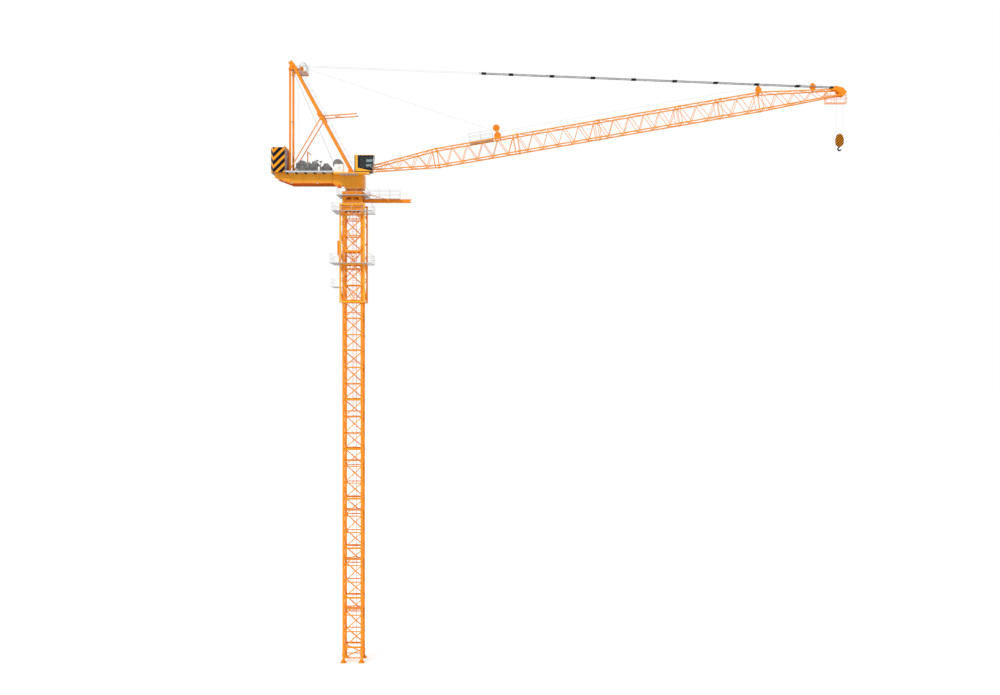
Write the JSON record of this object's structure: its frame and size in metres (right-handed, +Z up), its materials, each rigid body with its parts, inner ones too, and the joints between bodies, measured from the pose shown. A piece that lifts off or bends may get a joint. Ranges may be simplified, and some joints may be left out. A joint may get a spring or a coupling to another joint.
{
  "type": "luffing-jib tower crane, 1:2 scale model",
  "caption": "Luffing-jib tower crane, 1:2 scale model: lattice mast with climbing frame, slewing deck, A-frame, cab, luffing jib on pendant bars and a hook on its hoist rope.",
  "frame": {"origin": "centre of the four feet, on the plane of their soles", "axes": "+X along the jib, +Y away from the camera to the far side, +Z up the mast"},
  "size_m": [34.985, 2.55, 36.4705],
  "materials": {
    "crane_orange": "satin orange paint",
    "galvanised_steel": "galvanised grating and tube",
    "machine_grey": "satin grey machine paint",
    "white_cabinet": "white powder coat",
    "counterweight_grey": "painted slabs with hazard stripes",
    "cab_paint": "navy and yellow paint",
    "cab_glass": "tinted glass",
    "pendant_steel": "bare steel bar",
    "black_steel": "black paint",
    "rope_steel": "wire rope"
  },
  "bodies": {
    "tower": {"mast_base": "crane_orange", "mast_lower_sections": "crane_orange", "mast_middle_sections": "crane_orange", "mast_upper_sections": "crane_orange", "climbing_frame": "crane_orange", "climbing_ram": "crane_orange", "tower_platforms": "galvanised_steel", "tower_rails": "galvanised_steel", "introduction_beam": "crane_orange", "slewing_support": "crane_orange", "slewing_ring_lower": "machine_grey"},
    "upperworks": {"slewing_ring_upper": "machine_grey", "turret": "crane_orange", "turret_ladder": "crane_orange", "deck_girders": "crane_orange", "deck_floor": "galvanised_steel", "deck_walkways": "galvanised_steel", "counterweights": "counterweight_grey", "hoist_winch": "machine_grey", "luffing_winch": "machine_grey", "electric_cabinet": "white_cabinet", "service_davit": "crane_orange", "a_frame_struts": "crane_orange", "a_frame_ties": "crane_orange", "a_frame_head": "crane_orange", "a_frame_sheaves": "machine_grey", "lead_sheave": "crane_orange", "a_frame_braces": "crane_orange", "backstop_arms": "crane_orange", "head_platform": "galvanised_steel", "cab_walls": "cab_paint", "cab_glass": "cab_glass", "cab_platform": "crane_orange", "jib_pivot_brackets": "crane_orange", "deck_ropes": "rope_steel"},
    "jib": {"jib_foot_section": "crane_orange", "jib_middle_sections": "crane_orange", "jib_tip_section": "crane_orange", "jib_head": "crane_orange", "jib_head_sheave": "machine_grey", "guide_pulleys": "crane_orange", "jib_walkway": "galvanised_steel", "jib_walkway_rails": "galvanised_steel", "jib_basket": "crane_orange", "jib_hoist_rope": "rope_steel"},
    "luffing_tackle": {"luffing_ropes": "rope_steel"},
    "pendant": {"pendant_bars": "pendant_steel", "pendant_links": "black_steel"},
    "hoist_lead": {"hoist_lead_rope": "rope_steel"},
    "hoist_falls": {"hoist_rope": "rope_steel"},
    "hook_block": {"hook_block": "crane_orange", "hook_block_sheave": "machine_grey"},
    "hook": {"hook": "black_steel"},
    "hoist_drum": {"hoist_drum": "machine_grey"},
    "luffing_drum": {"luffing_drum": "machine_grey"}
  },
  "joints": [
    {"name": "slew", "type": "hinge", "parent": "tower", "child": "upperworks", "pos_m": [0, 0, 28.6402], "axis": [0, 0, 1], "continuous": true},
    {"name": "luff", "type": "hinge", "parent": "upperworks", "child": "jib", "pos_m": [0.175, 0, 29.8255], "axis": [0, -1, 0], "range_deg": [0, 70]},
    {"name": "luffing_rope_swing", "type": "hinge", "parent": "upperworks", "child": "luffing_tackle", "pos_m": [-3.6, 0, 36.1255], "axis": [0, -1, 0], "range_deg": [0, 70.66], "deforming": ["luffing_ropes"]},
    {"name": "pendant_swing", "type": "hinge", "parent": "jib", "child": "pendant", "pos_m": [29.3483, 0, 34.95038], "axis": [0, -1, 0], "range_deg": [0, 0.66]},
    {"name": "hoist_lead_swing", "type": "hinge", "parent": "upperworks", "child": "hoist_lead", "pos_m": [-3.215, 0, 36.0805], "axis": [0, -1, 0], "range_deg": [0, 49.76], "deforming": ["hoist_lead_rope"]},
    {"name": "hook_hang", "type": "hinge", "parent": "jib", "child": "hoist_falls", "pos_m": [29.66066, 0, 34.64347], "axis": [0, -1, 0], "range_deg": [-70, 0]},
    {"name": "hoist", "type": "slide", "parent": "hoist_falls", "child": "hook_block", "axis": [0, 0, 1], "range_m": [-30.5, 0], "deforming": ["hoist_rope"]},
    {"name": "hook_swivel", "type": "hinge", "parent": "hook_block", "child": "hook", "pos_m": [29.66066, 0, 31.44347], "axis": [0, 0, 1], "continuous": true},
    {"name": "hoist_drum_turn", "type": "hinge", "parent": "upperworks", "child": "hoist_drum", "pos_m": [-3.1, 0, 30.1205], "axis": [0, -1, 0], "range_deg": [-14138, 5]},
    {"name": "luffing_drum_turn", "type": "hinge", "parent": "upperworks", "child": "luffing_drum", "pos_m": [-0.94, 0, 30.2505], "axis": [0, -1, 0], "range_deg": [0, 2204]}
  ],
  "couplings": [
    {"joint": "luffing_rope_swing", "follows": "luff", "ratio": 1.0087},
    {"joint": "pendant_swing", "follows": "luff", "ratio": 0.00866},
    {"joint": "hoist_lead_swing", "follows": "luff", "ratio": 0.71019},
    {"joint": "hook_hang", "follows": "luff", "ratio": -1},
    {"joint": "luffing_drum_turn", "follows": "luff", "ratio": 31.42},
    {"joint": "hoist_drum_turn", "follows": "hoist", "rad_per_m": 8.0873}
  ]
}
